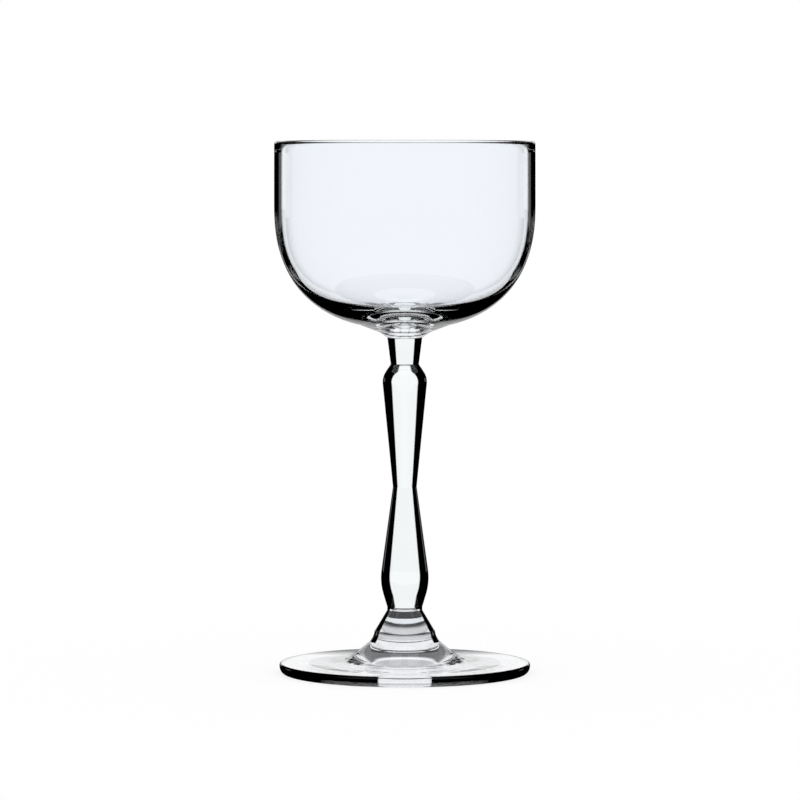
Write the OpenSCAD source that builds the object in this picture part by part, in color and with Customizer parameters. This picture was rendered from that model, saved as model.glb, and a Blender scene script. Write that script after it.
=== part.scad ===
// Nick and nora glass: a blown bowl, a round baluster stem and a pressed foot, joined while hot.
// Every outline is turned about the vertical axis, and the glass stands on z = 0.
// Each piece is drawn up from its own lower seam and lifted to its place.

/* [Bowl] */
// Outer diameter of the bowl at its widest ring
bowl_wide_d = 73.4; // [68:0.1:84]
// Outer diameter of the bowl at its rim
bowl_rim_d = 73.3; // [68:0.1:84]
// Height of the bowl from its seam with the stem to its rim
bowl_h = 55.2; // [46:0.1:66]
// Drop from the rim to the widest ring
bowl_wide_drop = 17.5; // [8:0.1:24]
// Thickness of the side wall
bowl_wall_t = 2; // [1.2:0.05:2.6]
// Thickness of the glass in the middle of the bottom
bowl_bottom_t = 3.8; // [2:0.1:7]
// Fullness of the outer curve: its reach towards the corner of its box, where 0.707 is an ellipse
bowl_outer_full_share = 0.75; // [0.71:0.005:0.8]
// Fullness of the inner curve
bowl_inner_full_share = 0.77; // [0.71:0.005:0.8]
// Thickness of the rounded lip at the rim
rim_lip_t = 1.75; // [1.1:0.05:2.5]
// Height over which the lip fades into the wall
rim_fade_h = 2.2; // [1.8:0.1:5]

/* [Boss under the bowl] */
// Diameter of the boss at its edge
boss_d = 14.2; // [11:0.1:17]
// Height above the seam at which the bowl's outer curve would meet the axis
boss_h = 2.5; // [1.8:0.1:4]
// Rise of the sloping face under the boss
boss_slope_h = 1.5; // [0.8:0.1:1.7]
// Rounding of the boss's edge
boss_round_r = 1.1; // [0.2:0.1:2]
// Diameter at which the boss flares out into the underside of the bowl
boss_flare_d = 25; // [19:0.1:34]

/* [Stem] */
// Height of the stem from the foot's seam to the bowl's seam
stem_h = 76.5; // [60:0.1:110]
// Diameter at the seam with the bowl
neck_d = 9.8; // [8.4:0.1:10.8]
// Length of the tapered neck from the bowl's seam to the crease
neck_h = 7.5; // [4:0.1:12]
// Diameter at the crease under the neck
crease_d = 7.9; // [6:0.1:9]
// Diameter where the upper knop's shoulder and taper would meet
upper_knop_d = 12.8; // [10:0.1:18]
// Drop from the crease to that meeting
upper_shoulder_h = 3.6; // [2.4:0.1:6]
// Rounding of the upper knop
upper_knop_round_r = 7; // [1:0.1:9]
// Diameter at the waist
waist_d = 6.7; // [5:0.05:9]
// Height of the waist above the foot's seam
waist_h = 34.4; // [26:0.1:44]
// Diameter where the lower knop's taper and base would meet
lower_knop_d = 14.1; // [11:0.1:18]
// Height of that meeting above the foot's seam
lower_knop_h = 7.4; // [4:0.1:12]
// Rounding of the lower knop
lower_knop_round_r = 18.5; // [4:0.1:24]
// Diameter at the seam with the foot
base_d = 9.9; // [8:0.1:12]
// Height of the short straight land on each side of that seam
seam_land_h = 0.5; // [0.2:0.1:1]
// Rounding of the waist, of the crease and of the lands at the seam
crease_round_r = 0.4; // [0.1:0.05:1]

/* [Foot collar] */
// Height of the foot from the table to its seam with the stem
foot_h = 18.3; // [16:0.1:24]
// Diameter at the foot of the upper cone
upper_cone_d = 16.7; // [14:0.1:17.2]
// Height of the upper cone
upper_cone_h = 6.2; // [4:0.1:7.6]
// Width of the ledge under the upper cone
ledge_w = 0.15; // [0.1:0.05:0.6]
// Diameter at the foot of the lower cone
lower_cone_d = 19.7; // [18.4:0.1:22]
// Height of the lower cone
lower_cone_h = 3.2; // [2:0.1:4.4]
// Depth by which the lower cone's side is drawn in
lower_cone_dip_w = 0.3; // [0:0.05:0.5]

/* [Foot disc] */
// Outer diameter of the foot
foot_d = 70.8; // [60:0.1:90]
// Thickness of the disc at its edge
foot_edge_t = 3; // [2.4:0.1:4.4]
// Height of the widest ring of the edge above the table
foot_wide_h = 2.2; // [1.4:0.1:2.3]
// Width of the rounding under the edge
foot_under_w = 1.6; // [0.8:0.1:3]
// Width of the rounding over the edge
foot_over_w = 0.7; // [0.4:0.1:1.6]
// Diameter where the raised middle runs into the disc
hill_d = 33.4; // [28:0.1:44]
// Height of the disc there
hill_foot_h = 3.5; // [2.9:0.1:5]
// Diameter of the raised middle's shoulder
hill_shoulder_d = 25.6; // [23:0.1:28]
// Height of that shoulder
hill_shoulder_h = 6.5; // [5.4:0.1:8]
// Rounding of the shoulder
hill_shoulder_r = 8; // [1:0.1:14]
// Rounding where the raised middle meets the disc
hill_foot_r = 3; // [0.5:0.1:5]
// Inner diameter of the flat ring that the glass rests on
rest_inner_d = 54; // [36:0.1:62]
// Depth of the hollow under the foot
hollow_depth = 1.2; // [0.4:0.1:2.2]

/* [Hidden] */

glass_colour = "#eef4f8";
full_turn = 360;
half_turn = 180;
quarter_turn = 90;
turning_fn = 96;
arc_step = 6;
curve_steps = 40;
side_steps = 6;
lip_steps = 22;
hollow_steps = 10;
// Most of a side that one rounded corner may use
corner_share = 0.48;

bowl_seam_z = foot_h + stem_h;
neck_r = neck_d / 2;
base_r = base_d / 2;

// Powers of the squared ellipses whose fullness is given above
bowl_outer_power = ln(1 / 2) / ln(bowl_outer_full_share);
bowl_inner_power = ln(1 / 2) / ln(bowl_inner_full_share);

bowl_wide_r = bowl_wide_d / 2;
bowl_rim_r = bowl_rim_d / 2;
bowl_wide_z = bowl_h - bowl_wide_drop;
bowl_outer_drop = bowl_wide_z - boss_h;
bowl_inner_r = bowl_wide_r - bowl_wall_t;
bowl_inner_drop = bowl_outer_drop - bowl_bottom_t;
lip_r = rim_lip_t / 2;
// Angle of the lip's rounding, from its outside over its top to where the inner wall runs off it
lip_turn = half_turn - atan2(bowl_wall_t - rim_lip_t, rim_fade_h - lip_r);
boss_r = boss_d / 2;

foot_r = foot_d / 2;
upper_cone_z = foot_h - upper_cone_h;
lower_cone_z = upper_cone_z - lower_cone_h;
ledge_r = upper_cone_d / 2 + ledge_w;
lower_cone_r = lower_cone_d / 2;

function unit(v) = v / norm(v);
function flat(p) = [p[0], p[1]];

// One corner of an outline as an arc that touches both of its sides; a point with no radius stays as it is
function corner(before, at, after) =
    len(at) < 3 ? [flat(at)] :
    let (
        back = flat(before) - flat(at),
        on = flat(after) - flat(at),
        half = acos(unit(back) * unit(on)) / 2,
        reach = min(at[2] / tan(half), corner_share * norm(back), corner_share * norm(on)),
        radius = reach * tan(half),
        middle = flat(at) + unit(unit(back) + unit(on)) * radius / sin(half),
        first = flat(at) + unit(back) * reach - middle,
        last = flat(at) + unit(on) * reach - middle,
        start = atan2(first[1], first[0]),
        end = atan2(last[1], last[0]),
        sweep = (end - start + full_turn + half_turn) % full_turn - half_turn,
        steps = max(2, ceil(abs(sweep) / arc_step))
    )
    [for (i = [0:steps]) middle + radius * [cos(start + sweep * i / steps), sin(start + sweep * i / steps)]];

// A whole outline with each [radius, height, rounding] corner rounded
function rounded(points) = [
    for (i = [0:len(points) - 1])
        for (p = (i == 0 || i == len(points) - 1)
            ? [flat(points[i])]
            : corner(points[i - 1], points[i], points[i + 1]))
            p
];

// Drop below the widest ring of a squared ellipse of the given radius and depth, at radius r
function squared_drop(r, wide, deep, power) = deep * pow(1 - pow(r / wide, power), 1 / power);

// Point of that squared ellipse at an angle below the widest ring
function squared_point(angle, wide, deep, power) =
    let (reach = pow(pow(cos(angle) / wide, power) + pow(sin(angle) / deep, power), -1 / power))
    [reach * cos(angle), bowl_wide_z - reach * sin(angle)];

// Radius of the side between the widest ring and the rim
function side_r(z, wide, rim) = wide - (wide - rim) * pow((z - bowl_wide_z) / bowl_wide_drop, 2);

module turned(points) {
    rotate_extrude($fn = turning_fn)
        polygon(points);
}

// Bowl: flared boss, outer curve, rounded lip and inner curve, from the seam with the stem up
function bowl_outline() =
    let (
        flare_r = boss_flare_d / 2,
        flare_drop = squared_drop(flare_r, bowl_wide_r, bowl_outer_drop, bowl_outer_power),
        flare_angle = atan2(flare_drop, flare_r),
        lip_z = bowl_h - lip_r,
        fade_z = bowl_h - rim_fade_h,
        outer = [
            for (i = [0:curve_steps])
                squared_point(flare_angle * (1 - i / curve_steps),
                    bowl_wide_r, bowl_outer_drop, bowl_outer_power)
        ],
        outer_side = [
            for (i = [1:side_steps - 1])
                let (z = bowl_wide_z + (lip_z - bowl_wide_z) * i / side_steps)
                [side_r(z, bowl_wide_r, bowl_rim_r), z]
        ],
        lip = [
            for (i = [0:lip_steps])
                let (angle = lip_turn * i / lip_steps)
                [bowl_rim_r - lip_r + lip_r * cos(angle), lip_z + lip_r * sin(angle)]
        ],
        inner_side = [
            for (i = [0:side_steps - 1])
                let (z = fade_z + (bowl_wide_z - fade_z) * i / side_steps)
                [side_r(z, bowl_inner_r, bowl_rim_r - bowl_wall_t), z]
        ],
        inner = [
            for (i = [0:curve_steps])
                squared_point(quarter_turn * i / curve_steps,
                    bowl_inner_r, bowl_inner_drop, bowl_inner_power)
        ]
    )
    concat(
        rounded([
            [0, 0],
            [neck_r, 0],
            [boss_r, boss_slope_h, boss_round_r],
            outer[0]
        ]),
        [for (i = [1:curve_steps]) outer[i]],
        outer_side,
        lip,
        inner_side,
        inner
    );

module bowl() {
    color(glass_colour)
        translate([0, 0, bowl_seam_z])
            turned(bowl_outline());
}

// Stem: straight tapers between a base with a short land, two rounded knops, a waist, a crease and a neck
module stem() {
    color(glass_colour)
        translate([0, 0, foot_h])
            turned(rounded([
                [0, 0],
                [base_r, 0],
                [base_r, seam_land_h, crease_round_r],
                [lower_knop_d / 2, lower_knop_h, lower_knop_round_r],
                [waist_d / 2, waist_h, crease_round_r],
                [upper_knop_d / 2, stem_h - neck_h - upper_shoulder_h, upper_knop_round_r],
                [crease_d / 2, stem_h - neck_h, crease_round_r],
                [neck_r, stem_h],
                [0, stem_h]
            ]));
}

// Lower cone of the collar: its side is drawn in by a shallow bow between its top and its foot
function lower_cone() = [
    for (i = [0:side_steps])
        let (share = i / side_steps)
        [
            lower_cone_r + (ledge_r - lower_cone_r) * share - lower_cone_dip_w * sin(half_turn * share),
            lower_cone_z + (upper_cone_z - lower_cone_z) * share
        ]
];

// Edge of the disc: two quarter ellipses that meet at its widest ring
function disc_edge() = concat(
    [
        for (i = [0:side_steps])
            let (angle = quarter_turn * i / side_steps)
            [foot_r - foot_under_w * (1 - sin(angle)), foot_wide_h * (1 - cos(angle))]
    ],
    [
        for (i = [1:side_steps])
            let (angle = quarter_turn * i / side_steps)
            [foot_r - foot_over_w * (1 - cos(angle)), foot_wide_h + (foot_edge_t - foot_wide_h) * sin(angle)]
    ]
);

// Shallow hollow under the foot, from the middle to the ring that it rests on
function hollow() = [
    for (i = [0:hollow_steps])
        let (share = i / hollow_steps)
        [rest_inner_d / 2 * share, hollow_depth * pow(cos(quarter_turn * share), 2)]
];

// Foot: hollow underside, rounded edge, disc, raised middle, stepped collar and a short land at the seam
module foot() {
    color(glass_colour)
        turned(concat(
            hollow(),
            rounded(concat(
                disc_edge(),
                [
                    [hill_d / 2, hill_foot_h, hill_foot_r],
                    [hill_shoulder_d / 2, hill_shoulder_h, hill_shoulder_r]
                ],
                lower_cone(),
                [
                    [upper_cone_d / 2, upper_cone_z],
                    [base_r, foot_h - seam_land_h, crease_round_r],
                    [base_r, foot_h],
                    [0, foot_h]
                ]
            ))
        ));
}

bowl();
stem();
foot();
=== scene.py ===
import math

import bpy
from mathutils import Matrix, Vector


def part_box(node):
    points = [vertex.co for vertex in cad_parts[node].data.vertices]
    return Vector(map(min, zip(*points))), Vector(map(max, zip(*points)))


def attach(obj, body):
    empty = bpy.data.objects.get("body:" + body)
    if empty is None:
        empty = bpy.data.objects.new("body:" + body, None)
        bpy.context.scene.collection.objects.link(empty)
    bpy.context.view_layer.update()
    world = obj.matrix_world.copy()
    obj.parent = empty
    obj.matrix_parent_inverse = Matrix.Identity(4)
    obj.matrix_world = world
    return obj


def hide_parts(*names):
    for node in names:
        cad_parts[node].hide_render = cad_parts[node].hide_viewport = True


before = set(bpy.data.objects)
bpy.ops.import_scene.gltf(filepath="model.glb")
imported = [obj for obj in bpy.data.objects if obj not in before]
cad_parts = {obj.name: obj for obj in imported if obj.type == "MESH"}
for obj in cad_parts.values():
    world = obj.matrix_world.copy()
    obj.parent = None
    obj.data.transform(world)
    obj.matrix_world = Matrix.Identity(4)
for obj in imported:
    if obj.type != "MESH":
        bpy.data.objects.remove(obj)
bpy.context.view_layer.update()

MM = 0.001

# Camera, from the ellipses of the rim and the foot in the 800 by 800 frame
FRAME_PX = 800
SENSOR_MM = 36
FOCAL_PX = 4838
CAMERA_DISTANCE = 1359.4
CAMERA_HEIGHT = 163.5
CAMERA_PITCH_DEG = 3.633
AXIS_OFFSET_PX = 4.8
# Nearest and furthest distance that the camera sees, in metres
CLIP_START = 0.05
CLIP_END = 50

# Bowl
BOWL_WIDE_DROP = 17.5
BOWL_WALL = 2
BOWL_BOTTOM = 3.8
BOWL_OUTER_FULL = 0.75
BOWL_INNER_FULL = 0.77
BOWL_RIM_D = 73.3
RIM_LIP = 1.75
RIM_FADE_H = 2.2
BOSS_D = 14.2
BOSS_H = 2.5
BOSS_SLOPE_H = 1.5
BOSS_ROUND = 1.1
BOSS_FLARE_D = 25

# Stem
NECK_D = 9.8
NECK_H = 7.5
CREASE_D = 7.9
UPPER_KNOP_D = 12.8
UPPER_SHOULDER_H = 3.6
UPPER_KNOP_ROUND = 7
WAIST_D = 6.7
WAIST_H = 34.4
LOWER_KNOP_D = 14.1
LOWER_KNOP_H = 7.4
LOWER_KNOP_ROUND = 18.5
BASE_D = 9.9
SEAM_LAND_H = 0.5
CREASE_ROUND = 0.4

# Foot
UPPER_CONE_D = 16.7
UPPER_CONE_H = 6.2
LEDGE_W = 0.15
LOWER_CONE_D = 19.7
LOWER_CONE_H = 3.2
LOWER_CONE_DIP = 0.3
FOOT_EDGE = 3
FOOT_WIDE_H = 2.2
FOOT_UNDER_W = 1.6
FOOT_OVER_W = 0.7
HILL_D = 33.4
HILL_FOOT_H = 3.5
HILL_SHOULDER_D = 25.6
HILL_SHOULDER_H = 6.5
HILL_SHOULDER_ROUND = 8
HILL_FOOT_ROUND = 3
REST_INNER_D = 54
HOLLOW_DEPTH = 1.2

# Heights and widths that the frame gives
BOWL_LOW, BOWL_HIGH = (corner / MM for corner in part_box("bowl"))
STEM_LOW, STEM_HIGH = (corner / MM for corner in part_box("stem"))
FOOT_LOW, FOOT_HIGH = (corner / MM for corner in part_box("foot"))
BOWL_H = BOWL_HIGH.z - BOWL_LOW.z
STEM_H = STEM_HIGH.z - STEM_LOW.z
FOOT_H = FOOT_HIGH.z - FOOT_LOW.z
BOWL_WIDE_R = BOWL_HIGH.x
FOOT_R = FOOT_HIGH.x
BOWL_WIDE_Z = BOWL_H - BOWL_WIDE_DROP

# Overlap of the stem and the bowl, so that light crosses the seam as it crosses fused glass
SEAM_OVERLAP = 0.01
# Film of air under the stem, where the foot's seam shows as a mirror
SEAM_AIR = 0.01

# Fineness of the turned meshes. A rounding takes at most its share of a side, an edge stays sharp from its
# angle on, and points nearer than the weld are joined.
TURN_STEPS = 192
ARC_STEP_DEG = 2.0
CURVE_STEPS = 90
SIDE_STEPS = 14
LIP_STEPS = 22
HOLLOW_STEPS = 24
CORNER_SHARE = 0.48
SHARP_ANGLE_DEG = 50
WELD = 0.0005
QUARTER_TURN = math.radians(90)


def linear(hex_colour):
    """An sRGB hex colour as linear red, green and blue."""
    parts = [int(hex_colour[i:i + 2], 16) / 255 for i in (1, 3, 5)]
    return [p / 12.92 if p <= 0.04045 else ((p + 0.055) / 1.055) ** 2.4 for p in parts]


# Outlines, as points of radius and height above each member's own lower seam

def corner_arc(before, at, after):
    """One corner of an outline as an arc that touches both of its sides."""
    here = Vector(at[:2])
    if len(at) < 3:
        return [here]
    back = Vector(before[:2]) - here
    on = Vector(after[:2]) - here
    half = back.angle(on) / 2
    reach = min(at[2] / math.tan(half), CORNER_SHARE * back.length, CORNER_SHARE * on.length)
    radius = reach * math.tan(half)
    middle = here + (back.normalized() + on.normalized()).normalized() * radius / math.sin(half)
    first = here + back.normalized() * reach - middle
    last = here + on.normalized() * reach - middle
    sweep = first.angle_signed(last) * -1
    steps = max(2, math.ceil(abs(math.degrees(sweep)) / ARC_STEP_DEG))
    start = math.atan2(first.y, first.x)
    return [
        middle + radius * Vector((math.cos(start + sweep * i / steps), math.sin(start + sweep * i / steps)))
        for i in range(steps + 1)
    ]


def rounded(points):
    """A whole outline with each (radius, height, rounding) corner rounded."""
    made = [Vector(points[0][:2])]
    for before, at, after in zip(points, points[1:], points[2:]):
        made += corner_arc(before, at, after)
    return made + [Vector(points[-1][:2])]


def power_of(full):
    """Power of the squared ellipse that reaches this share of the way to its box's corner."""
    return math.log(0.5) / math.log(full)


def squared_drop(radius, wide, deep, power):
    """Depth of a squared ellipse below its widest line, at a radius."""
    return deep * (1 - (radius / wide) ** power) ** (1 / power)


def squared_point(angle, wide, deep, power):
    """Point of a squared ellipse, at an angle below the bowl's widest line."""
    reach = ((math.cos(angle) / wide) ** power + (math.sin(angle) / deep) ** power) ** (-1 / power)
    return Vector((reach * math.cos(angle), BOWL_WIDE_Z - reach * math.sin(angle)))


def side_radius(z, wide, rim):
    """Radius of the bowl's side above its widest line, where it draws in slightly towards the rim."""
    return wide - (wide - rim) * ((z - BOWL_WIDE_Z) / BOWL_WIDE_DROP) ** 2


def bowl_outline():
    """Flared boss, outer curve, rounded lip and inner curve."""
    boss_r = BOSS_D / 2
    rim_r = BOWL_RIM_D / 2
    lip_r = RIM_LIP / 2
    outer_deep = BOWL_WIDE_Z - BOSS_H
    outer_power = power_of(BOWL_OUTER_FULL)
    inner_r = BOWL_WIDE_R - BOWL_WALL
    inner_deep = outer_deep - BOWL_BOTTOM
    inner_power = power_of(BOWL_INNER_FULL)
    flare_r = BOSS_FLARE_D / 2
    flare_angle = math.atan2(squared_drop(flare_r, BOWL_WIDE_R, outer_deep, outer_power), flare_r)
    lip_z = BOWL_H - lip_r
    lip_turn = math.pi - math.atan2(BOWL_WALL - RIM_LIP, RIM_FADE_H - lip_r)
    fade_z = BOWL_H - RIM_FADE_H
    outer = [
        squared_point(flare_angle * (1 - i / CURVE_STEPS), BOWL_WIDE_R, outer_deep, outer_power)
        for i in range(CURVE_STEPS + 1)
    ]
    made = rounded([
        (0, 0),
        (NECK_D / 2, 0),
        (boss_r, BOSS_SLOPE_H, BOSS_ROUND),
        outer[0],
    ])
    made += outer[1:]
    for i in range(1, SIDE_STEPS):
        z = BOWL_WIDE_Z + (lip_z - BOWL_WIDE_Z) * i / SIDE_STEPS
        made.append(Vector((side_radius(z, BOWL_WIDE_R, rim_r), z)))
    for i in range(LIP_STEPS + 1):
        angle = lip_turn * i / LIP_STEPS
        made.append(Vector((rim_r - lip_r + lip_r * math.cos(angle), lip_z + lip_r * math.sin(angle))))
    for i in range(SIDE_STEPS):
        z = fade_z + (BOWL_WIDE_Z - fade_z) * i / SIDE_STEPS
        made.append(Vector((side_radius(z, inner_r, rim_r - BOWL_WALL), z)))
    made += [
        squared_point(QUARTER_TURN * i / CURVE_STEPS, inner_r, inner_deep, inner_power)
        for i in range(CURVE_STEPS)
    ]
    made.append(Vector((0, BOWL_WIDE_Z - inner_deep)))
    return made


def stem_outline():
    """Straight tapers between a base with a short land, two rounded knops, a waist, a crease and a neck."""
    return rounded([
        (0, SEAM_AIR),
        (BASE_D / 2, SEAM_AIR),
        (BASE_D / 2, SEAM_LAND_H, CREASE_ROUND),
        (LOWER_KNOP_D / 2, LOWER_KNOP_H, LOWER_KNOP_ROUND),
        (WAIST_D / 2, WAIST_H, CREASE_ROUND),
        (UPPER_KNOP_D / 2, STEM_H - NECK_H - UPPER_SHOULDER_H, UPPER_KNOP_ROUND),
        (CREASE_D / 2, STEM_H - NECK_H, CREASE_ROUND),
        (NECK_D / 2, STEM_H + SEAM_OVERLAP),
        (0, STEM_H + SEAM_OVERLAP),
    ])


def foot_outline():
    """Hollow underside, rounded edge, disc, raised middle, stepped collar and a short land at the seam."""
    rest_r = REST_INNER_D / 2
    cone_top = FOOT_H - UPPER_CONE_H
    cone_low = cone_top - LOWER_CONE_H
    ledge_r = UPPER_CONE_D / 2 + LEDGE_W
    made = []
    for i in range(HOLLOW_STEPS + 1):
        share = i / HOLLOW_STEPS
        made.append(Vector((rest_r * share, HOLLOW_DEPTH * math.cos(QUARTER_TURN * share) ** 2)))
    edge = []
    for i in range(SIDE_STEPS + 1):
        angle = QUARTER_TURN * i / SIDE_STEPS
        edge.append((FOOT_R - FOOT_UNDER_W * (1 - math.sin(angle)), FOOT_WIDE_H * (1 - math.cos(angle))))
    for i in range(1, SIDE_STEPS + 1):
        angle = QUARTER_TURN * i / SIDE_STEPS
        rise = (FOOT_EDGE - FOOT_WIDE_H) * math.sin(angle)
        edge.append((FOOT_R - FOOT_OVER_W * (1 - math.cos(angle)), FOOT_WIDE_H + rise))
    cone = []
    for i in range(SIDE_STEPS + 1):
        share = i / SIDE_STEPS
        bow = LOWER_CONE_DIP * math.sin(math.pi * share)
        radius = LOWER_CONE_D / 2 + (ledge_r - LOWER_CONE_D / 2) * share - bow
        cone.append((radius, cone_low + LOWER_CONE_H * share))
    return made + rounded(
        edge
        + [
            (HILL_D / 2, HILL_FOOT_H, HILL_FOOT_ROUND),
            (HILL_SHOULDER_D / 2, HILL_SHOULDER_H, HILL_SHOULDER_ROUND),
        ]
        + cone
        + [
            (UPPER_CONE_D / 2, cone_top),
            (BASE_D / 2, FOOT_H - SEAM_LAND_H, CREASE_ROUND),
            (BASE_D / 2, FOOT_H),
            (0, FOOT_H),
        ]
    )


# Node trees

def add_node(tree, kind, settings=None, inputs=None):
    """Adds a node with its settings; an input is given a value, or the socket that feeds it."""
    node = tree.nodes.new(kind)
    for name, value in (settings or {}).items():
        setattr(node, name, value)
    for name, value in (inputs or {}).items():
        socket = node.inputs[name]
        if isinstance(value, bpy.types.NodeSocket):
            tree.links.new(value, socket)
        else:
            socket.default_value = value
    return node


def product(tree, *parts):
    """Multiplies its parts. One that is written as (value, span) or (value, span, ends) fades first."""
    total = None
    for part in parts:
        if isinstance(part, tuple):
            value, span, ends = (*part, (0, 1))[:3]
            part = add_node(
                tree, "ShaderNodeMapRange", None,
                {
                    "Value": value,
                    "From Min": span[0],
                    "From Max": span[1],
                    "To Min": ends[0],
                    "To Max": ends[1],
                },
            ).outputs[0]
        if total is None:
            total = part
        else:
            both = add_node(tree, "ShaderNodeMath", {"operation": "MULTIPLY"}, {0: total, 1: part})
            total = both.outputs[0]
    return total


def greatest(tree, *levels):
    """The greatest of two or more levels."""
    most = levels[0]
    for level in levels[1:]:
        most = add_node(tree, "ShaderNodeMath", {"operation": "MAXIMUM"}, {0: most, 1: level}).outputs[0]
    return most


def lathe_tree():
    """Geometry nodes that turn an outline about Z, one grid column a step, and weld its seam and poles."""
    tree = bpy.data.node_groups.new("turned_glass", "GeometryNodeTree")
    socket = tree.interface.new_socket
    socket("Outline", in_out="INPUT", socket_type="NodeSocketGeometry")
    socket("Turn Steps", in_out="INPUT", socket_type="NodeSocketInt")
    socket("Weld", in_out="INPUT", socket_type="NodeSocketFloat")
    socket("Sharp Angle", in_out="INPUT", socket_type="NodeSocketFloat")
    socket("Glass", in_out="INPUT", socket_type="NodeSocketMaterial")
    socket("Turned", in_out="OUTPUT", socket_type="NodeSocketGeometry")
    given = add_node(tree, "NodeGroupInput").outputs
    size = add_node(tree, "GeometryNodeAttributeDomainSize", {"component": "MESH"}, {0: given["Outline"]})
    rows = size.outputs["Point Count"]
    columns = add_node(tree, "ShaderNodeMath", {"operation": "ADD"}, {0: given["Turn Steps"], 1: 1.0})
    grid = add_node(
        tree, "GeometryNodeMeshGrid", None,
        {"Vertices X": columns.outputs[0], "Vertices Y": rows},
    )
    index = add_node(tree, "GeometryNodeInputIndex").outputs[0]
    row = add_node(tree, "ShaderNodeMath", {"operation": "MODULO"}, {0: index, 1: rows})
    ratio = add_node(tree, "ShaderNodeMath", {"operation": "DIVIDE"}, {0: index, 1: rows})
    column = add_node(tree, "ShaderNodeMath", {"operation": "FLOOR"}, {0: ratio.outputs[0]})
    turn = add_node(
        tree, "ShaderNodeMath", {"operation": "DIVIDE"},
        {0: column.outputs[0], 1: given["Turn Steps"]},
    )
    angle = add_node(tree, "ShaderNodeMath", {"operation": "MULTIPLY"}, {0: turn.outputs[0], 1: math.tau})
    place = add_node(tree, "GeometryNodeInputPosition").outputs[0]
    point = add_node(
        tree, "GeometryNodeSampleIndex", {"data_type": "FLOAT_VECTOR"},
        {0: given["Outline"], "Value": place, "Index": row.outputs[0]},
    )
    turned = add_node(
        tree, "ShaderNodeVectorRotate", {"rotation_type": "Z_AXIS"},
        {"Vector": point.outputs[0], "Angle": angle.outputs[0]},
    )
    shell = add_node(
        tree, "GeometryNodeSetPosition", None,
        {"Geometry": grid.outputs["Mesh"], "Position": turned.outputs[0]},
    )
    welded = add_node(
        tree, "GeometryNodeMergeByDistance", None,
        {"Geometry": shell.outputs[0], "Distance": given["Weld"]},
    )
    bend = add_node(tree, "GeometryNodeInputMeshEdgeAngle").outputs[0]
    sharp = add_node(
        tree, "FunctionNodeCompare", {"data_type": "FLOAT", "operation": "GREATER_THAN"},
        {0: bend, 1: given["Sharp Angle"]},
    )
    smooth = add_node(
        tree, "GeometryNodeSetShadeSmooth", {"domain": "FACE"},
        {"Geometry": welded.outputs[0], "Shade Smooth": True},
    )
    creased = add_node(
        tree, "GeometryNodeSetShadeSmooth", {"domain": "EDGE"},
        {"Geometry": smooth.outputs[0], "Selection": sharp.outputs[0], "Shade Smooth": False},
    )
    real = add_node(tree, "GeometryNodeRealizeInstances", None, {0: creased.outputs[0]})
    finished = add_node(
        tree, "GeometryNodeSetMaterial", None,
        {"Geometry": real.outputs[0], "Material": given["Glass"]},
    )
    add_node(tree, "NodeGroupOutput", None, {"Turned": finished.outputs[0]})
    return tree


def turned_piece(name, outline, base_z, tree, glass):
    """Turns one member's outline into its own closed mesh, with its place in the mesh."""
    wire = bpy.data.meshes.new(name + "_outline")
    points = [(p.x * MM, 0, (p.y + base_z) * MM) for p in outline]
    wire.from_pydata(points, [(i, i + 1) for i in range(len(points) - 1)], [])
    lathe = bpy.data.objects.new(name + "_outline", wire)
    bpy.context.scene.collection.objects.link(lathe)
    modifier = lathe.modifiers.new("turn", "NODES")
    modifier.node_group = tree
    values = {
        "Turn Steps": TURN_STEPS,
        "Weld": WELD * MM,
        "Sharp Angle": math.radians(SHARP_ANGLE_DEG),
        "Glass": glass,
    }
    for item in tree.interface.items_tree:
        if item.in_out == "INPUT" and item.name in values:
            modifier[item.identifier] = values[item.name]
    depsgraph = bpy.context.evaluated_depsgraph_get()
    mesh = bpy.data.meshes.new_from_object(lathe.evaluated_get(depsgraph), depsgraph=depsgraph)
    mesh.name = name
    bpy.data.objects.remove(lathe)
    piece = bpy.data.objects.new(name, mesh)
    bpy.context.scene.collection.objects.link(piece)
    return piece


# Every pair below is the span of a fade, where it starts and where it is whole, unless its name says that it
# holds levels or half angles: those are the two ends that a fade runs between.

# Fades of a count, from one whole number to the next
NONE = (1, 0)
SOME = (0, 1)
UP_TO_ONE = (2, 1)
TWO_OR_MORE = (1, 2)
UP_TO_TWO = (3, 2)
THREE_OR_MORE = (2, 3)

# Materials

WHITE = (1, 1, 1, 1)
PAINTED_SHADE_BLACK = (0, 0, 0, 1)
# Index of refraction of soda-lime glass, and of the bowl's slightly lighter one
GLASS_IOR = 1.52
BOWL_IOR = 1.5
# Places of the sockets of a colour mix
MIX_FROM = 6
MIX_TO = 7
MIX_RESULT = 2
# Keeps the level part of a direction or a place
LEVEL_PART = (1, 1, 0)

# A side's facing is 0 where it looks straight at the eye, and grows as it turns away. Its normal is tilted up
# first, so that a look from above finds less of it dark.
SIDE_TILT_DEG = 35
# Past this facing the stem's colour is painted black: painted shade on its sides
STEM_PAINTED_SHADE_FACING = (0.294, 0.314)

# The collar is what lies inside this radius
COLLAR_END = (9.81, 9.79)
# Past this facing the collar's colour is painted black: painted shade on its sides
COLLAR_PAINTED_SHADE_FACING = (0.481, 0.514)

# The foot's edge is what lies outside this radius, up to where its normal rises to that of the disc
EDGE_START = (33.69, 33.71)
EDGE_SLANT = (0.961, 0.959)
EDGE_TILT_DEG = 7
# Past this facing the edge's colour is painted black: painted shade
EDGE_PAINTED_SHADE_FACING = (0.02, 0.0235)
# Under the edge the painted black lifts a little, in a painted grey line of light that fades towards both
# sides
UNDER_EDGE = (-0.3, -0.6)
PAINTED_GREY_LINE_LEVEL = 0.03
UNDER_EDGE_FACING = (0.26, 0.12)


def new_material(name):
    """An empty material and its tree."""
    material = bpy.data.materials.new(name)
    material.use_nodes = True
    material.node_tree.nodes.clear()
    return material, material.node_tree


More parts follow.
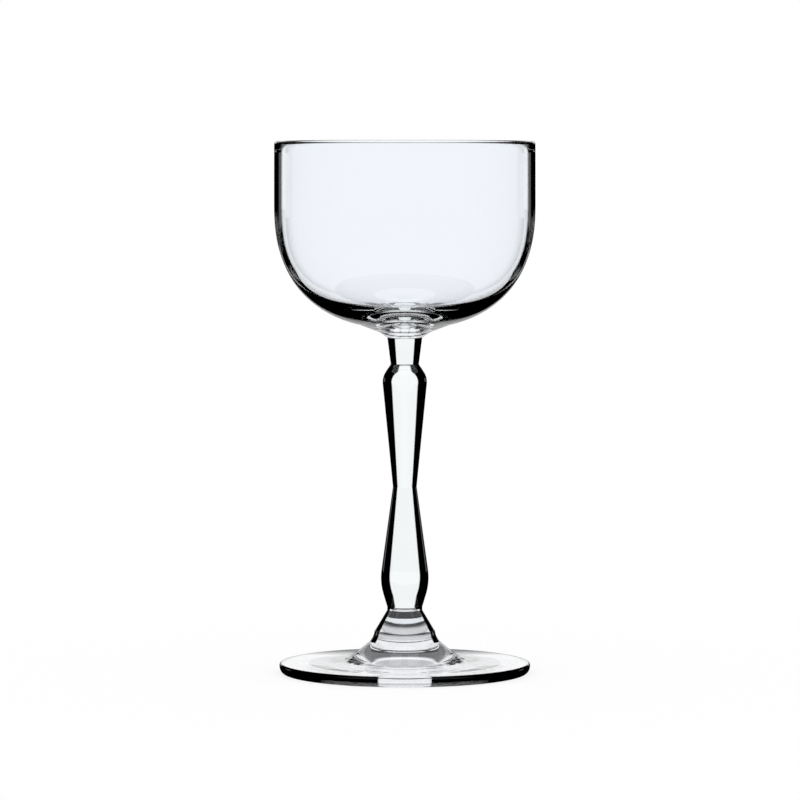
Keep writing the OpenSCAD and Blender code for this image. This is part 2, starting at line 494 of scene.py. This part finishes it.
def lifted_facing(tree, normal, tilt_deg):
    """How far a normal turns from the eye, once it is tilted up by an angle."""
    side = add_node(
        tree, "ShaderNodeVectorMath", {"operation": "SCALE"},
        {0: normal, "Scale": math.cos(math.radians(tilt_deg))},
    )
    lift = (0, 0, math.sin(math.radians(tilt_deg)))
    tilted = add_node(tree, "ShaderNodeVectorMath", {"operation": "ADD"}, {0: side.outputs[0], 1: lift})
    return add_node(tree, "ShaderNodeLayerWeight", None, {"Normal": tilted.outputs[0]}).outputs["Facing"]


def painted_dark_sides(tree):
    """Painted shade on the stem's sides: how far their colour turns to black as they face away from the eye.
    """
    normal = add_node(tree, "ShaderNodeNewGeometry").outputs["Normal"]
    return product(tree, (lifted_facing(tree, normal, SIDE_TILT_DEG), STEM_PAINTED_SHADE_FACING))


def painted_dark_edge(tree):
    """Painted shade on the foot: how far its colour turns to black at its edge and at its collar's sides as
    they turn from the eye.
    """
    seen = add_node(tree, "ShaderNodeNewGeometry").outputs
    level_normal, level_place = [
        add_node(
            tree, "ShaderNodeVectorMath", {"operation": "MULTIPLY"},
            {0: seen[name], 1: LEVEL_PART},
        ).outputs[0]
        for name in ("Normal", "Position")
    ]
    side = add_node(tree, "ShaderNodeVectorMath", {"operation": "NORMALIZE"}, {0: level_normal}).outputs[0]
    length = add_node(tree, "ShaderNodeVectorMath", {"operation": "LENGTH"}, {0: level_place})
    radius = product(tree, length.outputs["Value"], 1 / MM)
    rise = add_node(tree, "ShaderNodeSeparateXYZ", None, {0: seen["Normal"]}).outputs["Z"]
    facing = lifted_facing(tree, side, EDGE_TILT_DEG)
    # Painted light: a faint grey line under the edge, where the painted black lifts
    pale = product(tree, (rise, UNDER_EDGE, (0, PAINTED_GREY_LINE_LEVEL)), (facing, UNDER_EDGE_FACING))
    # Painted shade at the foot's edge, lifted by the painted grey line, and at the collar's sides
    edge = product(tree, (radius, EDGE_START), (rise, EDGE_SLANT), (pale, NONE), (facing, EDGE_PAINTED_SHADE_FACING))
    collar = product(tree, (radius, COLLAR_END), (lifted_facing(tree, side, SIDE_TILT_DEG), COLLAR_PAINTED_SHADE_FACING))
    return product(tree, (seen["Backfacing"], NONE), greatest(tree, edge, collar))


def clear_glass(name, tint, ior=GLASS_IOR, dark=None):
    """Smooth clear glass, whose colour is painted black, as painted shade, where its dark share is whole."""
    material, tree = new_material(name)
    colour = (*linear(tint), 1)
    shader = add_node(
        tree, "ShaderNodeBsdfPrincipled", None,
        {"Base Color": colour, "Roughness": 0.0, "IOR": ior, "Transmission Weight": 1.0},
    )
    if dark is not None:
        # Painted shade: the glass's colour turns to black as its dark share grows
        mix = add_node(
            tree, "ShaderNodeMix", {"data_type": "RGBA"},
            {"Factor": dark(tree), MIX_FROM: colour, MIX_TO: PAINTED_SHADE_BLACK},
        )
        tree.links.new(mix.outputs[MIX_RESULT], shader.inputs["Base Color"])
    add_node(tree, "ShaderNodeOutputMaterial", None, {"Surface": shader.outputs[0]})
    return material


# Studio

def make_camera():
    """The camera of the photograph."""
    data = bpy.data.cameras.new("camera")
    data.sensor_width = SENSOR_MM
    data.lens = FOCAL_PX / FRAME_PX * SENSOR_MM
    data.clip_start = CLIP_START
    data.clip_end = CLIP_END
    camera = bpy.data.objects.new("camera", data)
    aside = -AXIS_OFFSET_PX * CAMERA_DISTANCE / FOCAL_PX
    camera.location = (aside * MM, -CAMERA_DISTANCE * MM, CAMERA_HEIGHT * MM)
    camera.rotation_euler = (math.radians(90 - CAMERA_PITCH_DEG), 0, 0)
    bpy.context.scene.collection.objects.link(camera)
    bpy.context.scene.camera = camera


# Pale table: its half width in metres, and what its own glow and its lit chalk each give
FLOOR_HALF = 3.0
FLOOR_GLOW = 0.8
FLOOR_DIFFUSE = 0.2

# Directions are told apart by their angle from the nearest of the four sides of the room, in degrees, and by
# how far they rise; places on the table also by their distance from the glass in metres. Aim is the share
# of a direction that leads away from the viewer: 1 straight behind the glass, -1 straight in front of it.
AHEAD_AIM = (0.709, 0.711)
BEHIND_AIM = (-0.001, 0.001)
# From this distance on, the table lies clear of the glass
CLEAR_START = (0.0995, 0.1005)
# Towards the viewer the room is dim for what the outside mirrors, and white for light that turned inside
MIRROR_FRONT = (-0.3, -0.6)
MIRROR_FRONT_LEVEL = 0.3
TURNED_FRONT = (0.7, 0.5)

# The outside of the glass mirrors a white backdrop straight behind it, low corners and a painted bright patch
# of the table's glow: a painted reflection
RISE = (0.04, 0.07)
BACKDROP_AIM = (0.93, 0.965)
CORNER_TOP = (0.14, 0.1)
MIRROR_CORNER_DEG = (37, 45)
PATCH_DEG = (15, 12)
PATCH_START = (0.16, 0.175)
PATCH_END = (1.0, 0.6)
PAINTED_PATCH_LEVEL = 0.75

# Light turned once inside a wall meets black sides with pale corners and a paler strip above. Behind the
# glass it meets a white table whose glow holds a painted dark wedge, which widens with distance, and a
# painted white lane along it.
CORNER_DEG = (34, 38)
CORNER_EDGE_DEG = (26, 28)
DIM_LEVEL = 0.16
HIGH_CORNER_LEVEL = 0.45
STRIP_RISE = (0.24, 0.3)
STRIP_FADE = (0.33, 0.42)
STRIP_FADE_LEVEL = 0.58
WEDGE_SPAN = (0.2, 0.34)
WEDGE_HALF_DEG = (15.5, 37)
WEDGE_SOFT_DEG = (-1.5, 1.5)
LANE_SPAN = (0.28, 0.4)
LANE_HALF_DEG = (10.5, 14)
LANE_SOFT_DEG = (1, -1)
LANE_START = (0.13, 0.145)

# Under the foot the table's glow holds a painted shadow, dark in the middle and paler round it, and a painted
# white gap behind its edge
UNDER_SPAN = (0.008, 0.014)
PAINTED_SHADOW_LEVELS = (0.08, 0.72)
UNDER_END = (0.0301, 0.0299)
GAP_START = (0.0299, 0.0301)
GAP_END = (0.0601, 0.0599)
GAP_AIM = (0.98, 0.985)

# Light that turned more often meets white in the middle of each side, wider close to the glass, and above
DEEP_DEG = (20, 15)
DEEP_SPAN = (0.05, 0.1)
DEEP_HALF_DEG = (12, 0)
DEEP_END = (0.7, 0.5)
DEEP_HIGH = (0.33, 0.38)

# Glass throws light back inside more often than the usual count of bounces allows for
GLASS_BOUNCES = 12


def kinds_of_ray(tree):
    """Light that comes through, is thrown off the outside, or turned once, or more often, inside a wall."""
    path = add_node(tree, "ShaderNodeLightPath").outputs
    turns, passes = path["Glossy Depth"], path["Transmission Depth"]
    across = product(tree, (passes, THREE_OR_MORE), (turns, UP_TO_TWO))
    through = greatest(tree, product(tree, (turns, NONE)), across)
    once = product(tree, (turns, SOME), (turns, UP_TO_ONE))
    outside = product(tree, once, (passes, NONE))
    inside = product(tree, once, (passes, SOME))
    often = product(tree, (turns, TWO_OR_MORE))
    return through, outside, inside, often


def off_side(tree, parts):
    """Angle in degrees between a level direction and the nearest of the four sides of the room."""
    sizes = {}
    for place, axis in enumerate("XY"):
        size = add_node(tree, "ShaderNodeMath", {"operation": "ABSOLUTE"}, {0: parts[axis]})
        sizes[place] = size.outputs[0]
    less = add_node(tree, "ShaderNodeMath", {"operation": "MINIMUM"}, sizes).outputs[0]
    more = add_node(tree, "ShaderNodeMath", {"operation": "MAXIMUM"}, sizes).outputs[0]
    angle = add_node(tree, "ShaderNodeMath", {"operation": "ARCTAN2"}, {0: less, 1: more}).outputs[0]
    return product(tree, angle, math.degrees(1))


def past_wedge(tree, aside, away, span, half_deg):
    """Angle by which a place on the table lies past a wedge, whose half angle changes with distance."""
    half = product(tree, (away, span, half_deg))
    return add_node(tree, "ShaderNodeMath", {"operation": "SUBTRACT"}, {0: aside, 1: half}).outputs[0]


def make_floor():
    """A pale table: it shows the object's shadow and stays white to the camera and through the glass."""
    mesh = bpy.data.meshes.new("floor")
    corners = [(-1, -1), (1, -1), (1, 1), (-1, 1)]
    mesh.from_pydata([(x * FLOOR_HALF, y * FLOOR_HALF, 0) for x, y in corners], [], [(0, 1, 2, 3)])
    floor = bpy.data.objects.new("floor", mesh)
    bpy.context.scene.collection.objects.link(floor)
    material, tree = new_material("pale_table")
    through, outside, inside, often = kinds_of_ray(tree)
    place = add_node(tree, "ShaderNodeNewGeometry").outputs["Position"]
    parts = add_node(tree, "ShaderNodeSeparateXYZ", None, {0: place}).outputs
    away = add_node(tree, "ShaderNodeVectorMath", {"operation": "LENGTH"}, {0: place}).outputs["Value"]
    aside = off_side(tree, parts)
    aim = add_node(tree, "ShaderNodeMath", {"operation": "DIVIDE"}, {0: parts["Y"], 1: away}).outputs[0]
    front_mirrored = product(tree, (away, CLEAR_START), (aim, MIRROR_FRONT, (0, MIRROR_FRONT_LEVEL)))
    # Painted reflection: a bright patch in the table's glow that only the glass's outside mirrors
    painted_reflection_patch = product(
        tree, PAINTED_PATCH_LEVEL, (aim, AHEAD_AIM), (aside, PATCH_DEG), (away, PATCH_START), (away, PATCH_END),
    )
    front_turned = product(tree, (away, CLEAR_START), (aim, TURNED_FRONT))
    # Painted shade and light in the table's glow: a dark wedge behind the glass and a white lane along it
    past_dark = past_wedge(tree, aside, away, WEDGE_SPAN, WEDGE_HALF_DEG)
    table = product(tree, (aim, AHEAD_AIM), (away, CLEAR_START), (past_dark, WEDGE_SOFT_DEG))
    past_lane = past_wedge(tree, aside, away, LANE_SPAN, LANE_HALF_DEG)
    painted_lane_light = product(tree, (aim, AHEAD_AIM), (past_lane, LANE_SOFT_DEG), (away, LANE_START))
    # Painted shadow under the foot, and painted light in the gap behind its edge, in the table's glow
    painted_shadow_under_foot = product(tree, (away, UNDER_SPAN, PAINTED_SHADOW_LEVELS), (away, UNDER_END))
    painted_gap_light = product(tree, (aim, GAP_AIM), (away, GAP_START), (away, GAP_END))
    past_deep = past_wedge(tree, aside, away, DEEP_SPAN, DEEP_HALF_DEG)
    deep = product(tree, (past_deep, DEEP_DEG), (away, DEEP_END))
    # The table's glow: white straight through the glass, painted light and shade once the glass has mirrored
    # or turned it
    seen = greatest(
        tree, through,
        product(tree, outside, greatest(tree, painted_reflection_patch, front_mirrored)),
        product(tree, inside, greatest(tree, table, painted_lane_light, painted_shadow_under_foot, painted_gap_light, front_turned)),
        product(tree, often, deep),
    )
    light = add_node(
        tree, "ShaderNodeEmission", None,
        {"Color": WHITE, "Strength": product(tree, seen, FLOOR_GLOW)},
    )
    chalk = add_node(tree, "ShaderNodeBsdfDiffuse", None, {"Color": product(tree, seen, FLOOR_DIFFUSE)})
    both = add_node(tree, "ShaderNodeAddShader", None, {0: light.outputs[0], 1: chalk.outputs[0]})
    add_node(tree, "ShaderNodeOutputMaterial", None, {"Surface": both.outputs[0]})
    mesh.materials.append(material)


def make_world():
    """White through the glass; what it throws back meets a dark room with a white backdrop and corners."""
    world = bpy.data.worlds.new("studio")
    world.use_nodes = True
    bpy.context.scene.world = world
    tree = world.node_tree
    tree.nodes.clear()
    through, outside, inside, often = kinds_of_ray(tree)
    direction = add_node(tree, "ShaderNodeTexCoord").outputs["Generated"]
    parts = add_node(tree, "ShaderNodeSeparateXYZ", None, {0: direction}).outputs
    aside = off_side(tree, parts)
    above = product(tree, (parts["Z"], RISE))
    backdrop = product(tree, above, (parts["Y"], BACKDROP_AIM))
    corner = product(tree, (parts["Y"], BEHIND_AIM), (aside, MIRROR_CORNER_DEG), (parts["Z"], CORNER_TOP))
    front = product(tree, (parts["Y"], MIRROR_FRONT, (0, MIRROR_FRONT_LEVEL)))
    mirrored = greatest(tree, backdrop, corner, front)
    dim = product(tree, greatest(tree, above, product(tree, (aside, CORNER_EDGE_DEG))), DIM_LEVEL)
    pale = product(tree, (aside, CORNER_DEG), (above, (0, 1), (1, HIGH_CORNER_LEVEL)))
    strip = product(tree, (parts["Z"], STRIP_RISE), (parts["Z"], STRIP_FADE, (1, STRIP_FADE_LEVEL)))
    turned = greatest(tree, dim, pale, strip, product(tree, (parts["Y"], TURNED_FRONT)))
    facing = product(tree, above, (aside, DEEP_DEG))
    deep = greatest(tree, facing, product(tree, (parts["Z"], DEEP_HIGH)))
    level = greatest(
        tree, through,
        product(tree, outside, mirrored),
        product(tree, inside, turned),
        product(tree, often, deep),
    )
    glow = add_node(tree, "ShaderNodeBackground", None, {"Color": WHITE, "Strength": level})
    add_node(tree, "ShaderNodeOutputWorld", None, {0: glow.outputs[0]})


bpy.context.scene.view_settings.view_transform = "Standard"
bpy.context.scene.cycles.glossy_bounces = GLASS_BOUNCES
make_camera()
make_floor()
make_world()

# Blown with air and polished by fire: thin clear walls, faintly blue, that go dark only at the outline
blown_glass = clear_glass("blown_soda_lime_glass", "#fafcff", BOWL_IOR)
# Drawn out while soft: a solid clear rod with a bright core, whose two black sides are painted shade
drawn_glass = clear_glass("drawn_soda_lime_glass", "#fafefe", dark=painted_dark_sides)
# Pressed in a mould and polished by fire: a clear disc under a collar, whose black edge and dark collar sides
# are painted shade
pressed_glass = clear_glass("pressed_soda_lime_glass", "#fafcff", dark=painted_dark_edge)

lathe = lathe_tree()
pieces = [
    ("bowl", "bowl_glass", turned_piece("blown_bowl", bowl_outline(), BOWL_LOW.z, lathe, blown_glass)),
    ("stem", "stem_glass", turned_piece("baluster_stem", stem_outline(), STEM_LOW.z, lathe, drawn_glass)),
    ("foot", "foot_glass", turned_piece("pressed_foot", foot_outline(), FOOT_LOW.z, lathe, pressed_glass)),
]
for node, slot, piece in pieces:
    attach(piece, "root")
    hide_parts(node)
